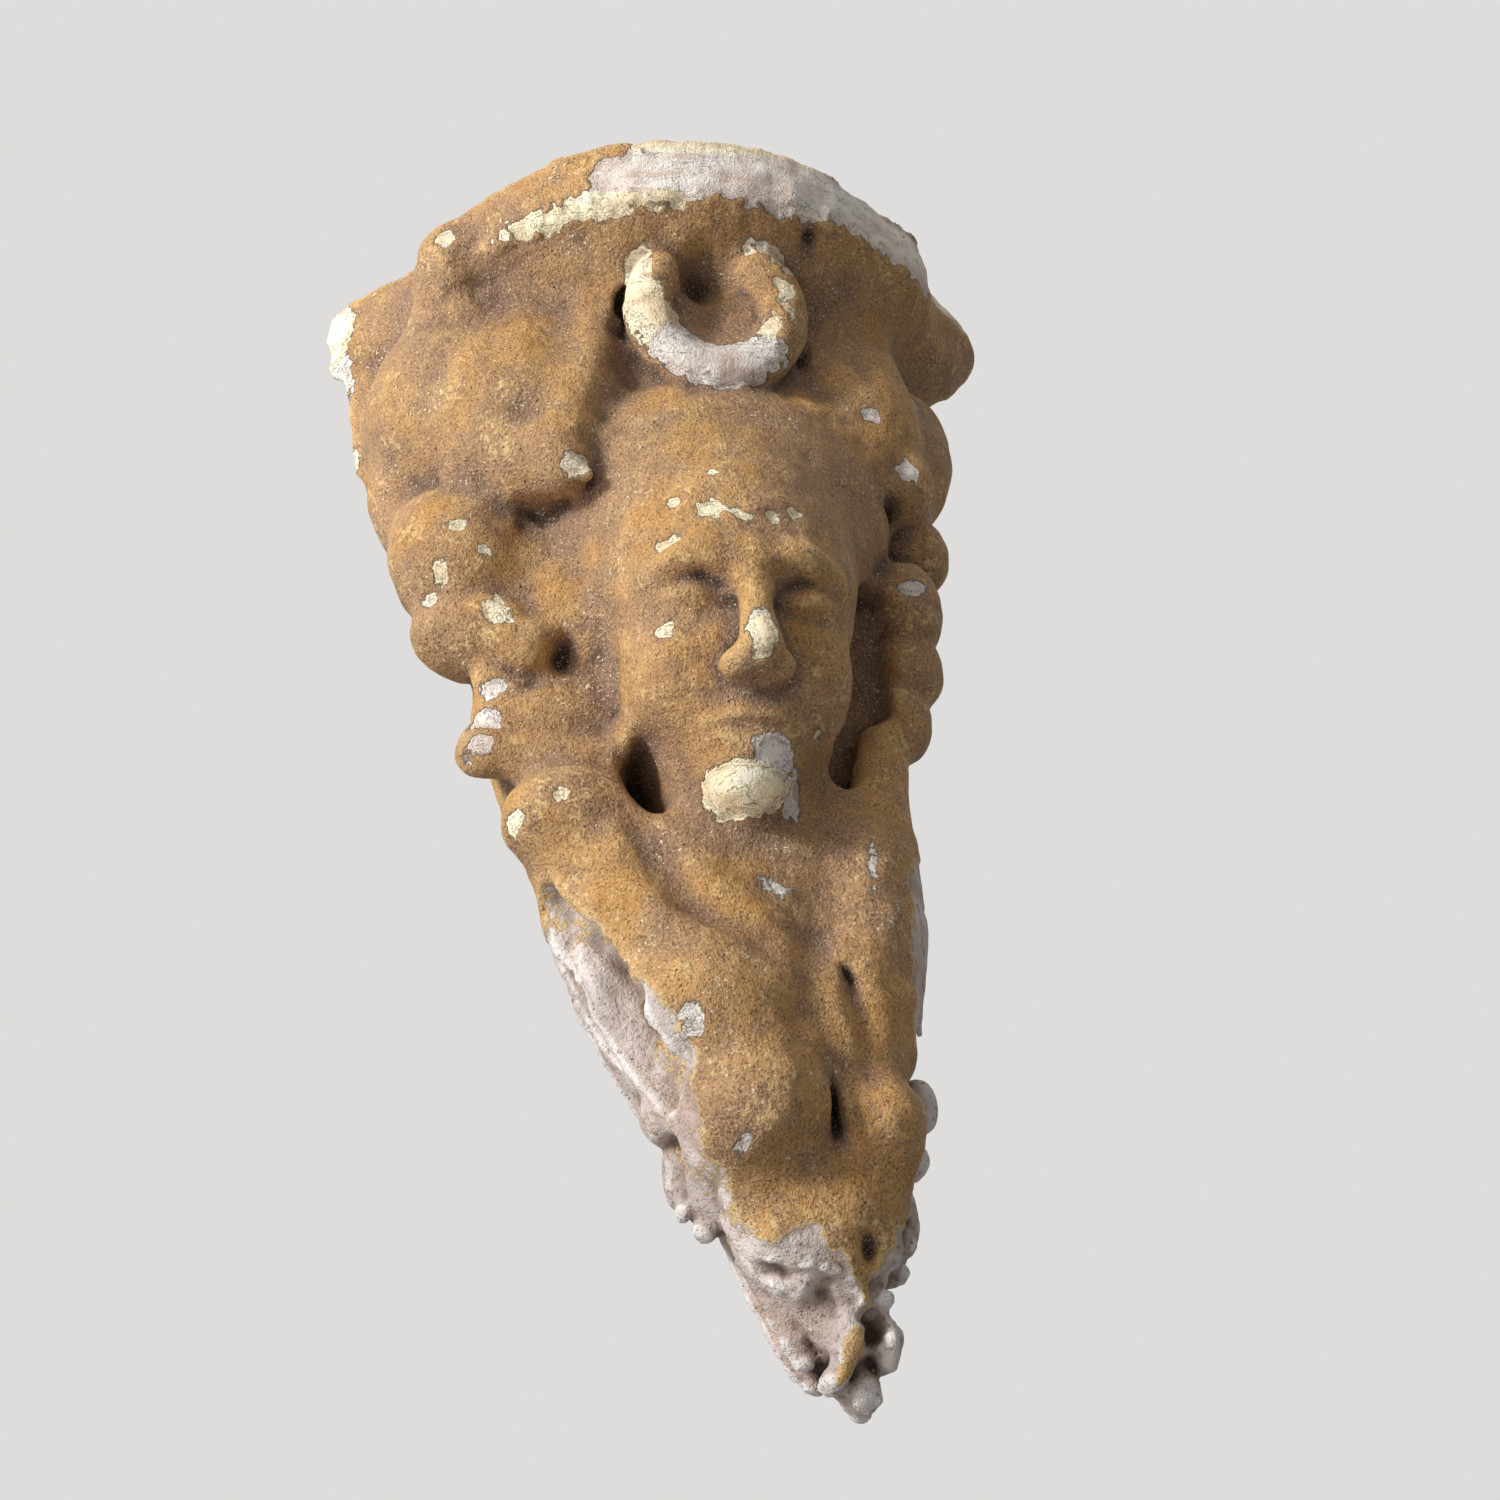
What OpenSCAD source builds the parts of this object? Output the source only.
// Stone corbel: a wall bracket with a serpentine shelf over a figure's head,
// rolled locks of hair at both sides, a draped breast and a tapering tail.
// Millimetres, +Z up. The back lies on the plane y = 0 and faces +Y, and the
// corbel stands out from the wall along -Y. The origin is on the back.

/* [Overall] */
// Height from the end of the tail to the top of the shelf
corbel_height = 560; // [450:5:680]
// Width of the shelf along the wall, from horn to horn
shelf_width = 352; // [280:2:430]
// Height of the shelf's top above the origin on the back
top_above_origin = 230; // [150:5:300]

/* [Shelf] */
// How far the bowed front of the shelf stands out from the wall
shelf_depth = 131; // [100:1:170]
// Radius of the shelf's plan at its two step corners
corner_radius = 137; // [110:1:170]
// Angle over which each horn swings out along the wall, in degrees
horn_angle = 13; // [7:0.5:16]
// Height of the rounded rim
rim_height = 40; // [25:1:60]
// Height of the hollow moulding below the rim
hollow_height = 46; // [25:1:70]

/* [Head] */
// Width of the head at the ears
head_width = 112; // [90:1:140]
// Height of the head from chin to crown
head_height = 176; // [140:2:215]
// How far the brow stands out from the wall
head_reach = 112; // [90:1:140]
// Forward lean of the head, in degrees
head_lean = 19; // [5:1:30]
// Sideways tilt of the head, in degrees
head_tilt = 4; // [0:1:10]

/* [Crown ring] */
// Outer diameter of the ring on the crown
ring_diameter = 80; // [60:1:100]
// Thickness of the ring's roll
ring_roll = 19; // [12:1:26]
// Depth of the dish inside the ring
ring_dish = 12; // [4:1:16]

/* [Lower front] */
// Width across the two round leaves at the foot of the drapery
leaves_width = 104; // [80:1:130]
// Width of the slit between them
slit_width = 7; // [3:0.5:12]
// Diameter of the knob at the end of the tail
knob_diameter = 24; // [16:1:34]

/* [Hidden] */
// Segments round each level and number of levels
around = 64;
levels = 73;
// The loft starts behind and above the planes that cut it flat
overcut = 2;
// How softly one lump runs into the next
blend = 16;
// Fall of the slope round a lump
skirt = 50;

stone_colour = [0.66, 0.48, 0.27];

half_width = shelf_width / 2;

// The body behind the lumps, by level: share of the height below the top,
// extent to the left and right of the axis, reach from the wall, squareness.
body_stations = [
    [0.00, 170, 165, 40, 1.3],
    [0.10, 180, 130, 52, 1.3],
    [0.18, 176, 114, 50, 1.6],
    [0.25, 150, 114, 46, 2.2],
    [0.36, 126, 100, 44, 2.4],
    [0.44, 118, 86, 42, 2.5],
    [0.53, 106, 74, 40, 2.6],
    [0.61, 91, 76, 44, 2.8],
    [0.67, 76, 68, 48, 2.8],
    [0.74, 59, 52, 48, 2.6],
    [0.82, 45, 40, 42, 2.3],
    [0.88, 30, 33, 36, 2.1],
    [0.92, 23, 25, 30, 2.0],
    [0.96, 11, 18, 24, 2.0],
    [1.00, -7, 12, 12, 2.0]
];
// Half width that the places in the lists below are given for
drawn_half_width = 176;
across = half_width / drawn_half_width;

function station(drop, column) =
    lookup(drop, [for (s = body_stations) [s[0], s[column]]]);
function middle(drop) = across * (station(drop, 2) - station(drop, 1)) / 2;
function body_half(drop) = across * (station(drop, 2) + station(drop, 1)) / 2;

// A lump is an egg: [middle x, reach of its middle, drop of its middle as a
// share of the height, radii in x, y and z, lean forward and tilt per mm up].
ring_radius = ring_diameter / 2;
head_lumps = [
    // skull, jaw, and the smooth veil from the ring down to the brow
    [-8, head_reach - head_width / 2, 0.42, head_width / 2, head_width / 2,
        head_height / 2, tan(head_lean), tan(head_tilt)],
    [-13, head_reach - 50, 0.54, head_width / 4 + 2, 28, 30, 0.25, tan(head_tilt)],
    [2, 46, 0.26, 74, 48, 60, 0.35, 0]
];
corner_lumps = [
    [110, 70, 0.030, 24, 19, 22, 0, 0],
    [-116, 50, 0.040, 20, 16, 22, 0, 0]
];
ring_lumps = [
    [1, 70, 0.138, ring_radius + 1, 30, ring_radius, 0.5, 0]
];
lock_lumps = [
    // left: the wing with its tip, then the rolled locks
    [-92, 42, 0.205, 50, 42, 62, 0.15, -0.25],
    [-80, 64, 0.283, 22, 24, 18, 0, 0],
    [-126, 20, 0.270, 27, 22, 32, 0, 0],
    [-112, 42, 0.325, 28, 32, 33, 0, 0],
    [-105, 46, 0.385, 20, 22, 22, 0, 0],
    [-104, 36, 0.425, 30, 30, 25, 0, 0],
    [-94, 30, 0.485, 24, 26, 20, 0, 0],
    // right: the wing, the knob and five smaller locks
    [84, 42, 0.19, 40, 40, 60, 0.1, 0.1],
    [93, 48, 0.255, 16, 19, 15, 0, 0],
    [98, 24, 0.21, 20, 24, 26, 0, 0],
    [103, 18, 0.295, 22, 22, 24, 0, 0],
    [82, 28, 0.37, 24, 24, 24, 0, 0],
    [74, 26, 0.42, 22, 22, 22, 0, 0],
    [62, 24, 0.475, 22, 22, 26, 0, 0],
    [48, 28, 0.52, 16, 20, 34, 0, 0]
];
breast_lumps = [
    // shoulder, throat, and the folds of the drapery
    [-76, 32, 0.55, 30, 28, 30, 0, 0],
    [-12, 26, 0.62, 48, 44, 44, 0, 0],
    [-50, 34, 0.69, 32, 31, 44, 0, 0],
    [-14, 40, 0.71, 40, 37, 46, 0, 0],
    [28, 28, 0.70, 26, 29, 48, 0, 0],
    [-18, 48, 0.78, 32, 32, 28, 0, 0]
];
leaf_radius = leaves_width / 4;
leaf_lumps = [
    [-leaf_radius - 4, 47, 0.815, leaf_radius, 34, 26, 0, 0],
    [leaf_radius - 6, 43, 0.815, leaf_radius, 31, 24, 0, 0],
    [-2, 32, 0.87, 32, 27, 38, 0, 0]
];
knob_radius = knob_diameter / 2;
tail_lumps = [
    // bead clusters at the two sides, finial, volute and end knob
    [-36, 17, 0.852, 14, 16, 17, 0, 0],
    [27, 20, 0.875, 11, 16, 22, 0, 0],
    [2, 20, 0.93, 17, 22, 32, 0, 0],
    [13, 24, 0.952, 11, 14, 13, 0, 0],
    [7, 16, 1 - knob_radius / corbel_height, knob_radius, 15, knob_radius, 0, 0]
];
lumps = concat(corner_lumps, lock_lumps, breast_lumps, leaf_lumps, tail_lumps, head_lumps, ring_lumps);

// Hollows: [middle x, drop, radius across, radius in height, depth]
hollows = [
    // dish of the ring, and the deep slots at its two sides
    [1, 0.138, ring_radius - ring_roll / 2, ring_radius - ring_roll / 2, ring_dish],
    // below the wing, and beside the left cheek
    [-88, 0.325, 22, 9, 9],
    [-62, 0.50, 9, 34, 12],
    [56, 0.45, 8, 42, 12],
    // the throat below the chin, and the slit between the leaves
    [0, 0.80, slit_width, 22, 12]
];

function smooth_max(a, b) =
    let (near = max(blend - abs(a - b), 0) / blend)
    max(a, b) + near * near * blend / 4;

// Where a level ray from the axis leaves a lump. Outside the lump the value
// falls away down a steep skirt, so that lumps stand on slopes, not cliffs.
function lump_exit(lump, angle, drop, axis) =
    let (
        up = (lump[2] - drop) * corbel_height,
        px = (lump[0] * across + lump[7] * up - axis) / lump[3],
        py = (lump[1] + lump[6] * up) / lump[4],
        dx = cos(angle) / lump[3],
        dy = sin(angle) / lump[4],
        a = dx * dx + dy * dy,
        b = px * dx + py * dy,
        inside = 1 - pow(up / lump[5], 2) - (px * px + py * py - b * b / a)
    )
    b <= 0 ? 0 :
    b / a + (inside > 0 ? sqrt(inside / a) : skirt * inside);

function raised(i, radius, angle, drop, axis) =
    i < 0 ? radius :
    raised(i - 1, smooth_max(radius, lump_exit(lumps[i], angle, drop, axis)), angle, drop, axis);

// Plan of the shelf, from a bowed front through the corners to the horns
function shelf_plan(angle) =
    let (from_wall = min(angle, 180 - angle))
    shelf_depth + (corner_radius - shelf_depth) * pow(cos(angle), 2)
    + (half_width - corner_radius) * exp(-pow(from_wall / horn_angle, 2));

// Rim and hollow moulding, as a share of the plan
function shelf_share(drop) =
    let (
        below = drop * corbel_height,
        in_rim = below / rim_height,
        in_hollow = (below - rim_height) / hollow_height
    )
    below <= rim_height ? 0.90 + 0.10 * sqrt(max(1 - in_rim * in_rim, 0)) :
    0.90 * (1 - 0.55 * sin(90 * min(in_hollow, 1)));

function body_radius(angle, drop) =
    let (power = station(drop, 4))
    pow(
        pow(abs(cos(angle)) / body_half(drop), power)
        + pow(sin(angle) / station(drop, 3), power),
        -1 / power
    );

function hollow_depth(i, across, drop) =
    i < 0 ? 0 :
    let (
        h = hollows[i],
        u = (across - h[0] * across) / h[2],
        v = (drop - h[1]) * corbel_height / h[3]
    )
    h[4] * exp(-pow(u * u + v * v, 2)) + hollow_depth(i - 1, across, drop);

function surface_radius(angle, drop) =
    let (
        axis = middle(drop),
        below = drop * corbel_height,
        shelf = below > rim_height + hollow_height ? 0 :
            shelf_plan(angle) * shelf_share(drop) - axis * cos(angle),
        body = smooth_max(body_radius(angle, drop), shelf),
        full = raised(len(lumps) - 1, body, angle, drop, axis)
    )
    full - hollow_depth(len(hollows) - 1, axis + full * cos(angle), drop);

function level_point(i, level) =
    let (
        drop = level / (levels - 1),
        angle = 180 * i / around,
        r = surface_radius(angle, drop),
        behind = i % around == 0 ? overcut : 0
    )
    [middle(drop) + r * cos(angle), behind - r * sin(angle), -drop * corbel_height];

// Two triangles for the patch between two neighbouring columns, from points
// side[0] and side[1] down to the next row, along the shorter diagonal
function split(points, side) =
    let (a = side[0], b = side[1], c = b + side[2], d = a + side[2])
    norm(points[a] - points[c]) < norm(points[b] - points[d]) ?
        [[a, c, b], [a, d, c]] : [[a, d, b], [b, d, c]];

module lofted_body() {
    row = around + 1;
    points = concat(
        [for (i = [0:around]) level_point(i, 0) + [0, 0, overcut]],
        [for (level = [1:levels - 1]) for (i = [0:around]) level_point(i, level)]
    );
    ends = concat(points, [[middle(0), overcut, overcut], [middle(1), overcut, -corbel_height]]);
    top_middle = len(points);
    low_middle = len(points) + 1;
    last = (levels - 1) * row;
    faces = concat(
        [for (level = [0:levels - 2]) for (i = [0:around]) each
            split(ends, [level * row + i, level * row + (i + 1) % row, row])],
        [for (i = [0:around - 1]) [i, i + 1, top_middle]],
        [[around, 0, top_middle]],
        [for (i = [0:around - 1]) [last + i + 1, last + i, low_middle]],
        [[last, last + around, low_middle]]
    );
    polyhedron(ends, faces, convexity = 12);
}

module corbel() {
    margin = 50;
    color(stone_colour)
    translate([0, 0, top_above_origin])
    intersection() {
        lofted_body();
        translate([-half_width - margin, -shelf_depth - margin, -corbel_height - margin])
        cube([shelf_width + 2 * margin, shelf_depth + margin, corbel_height + margin]);
    }
}

corbel();
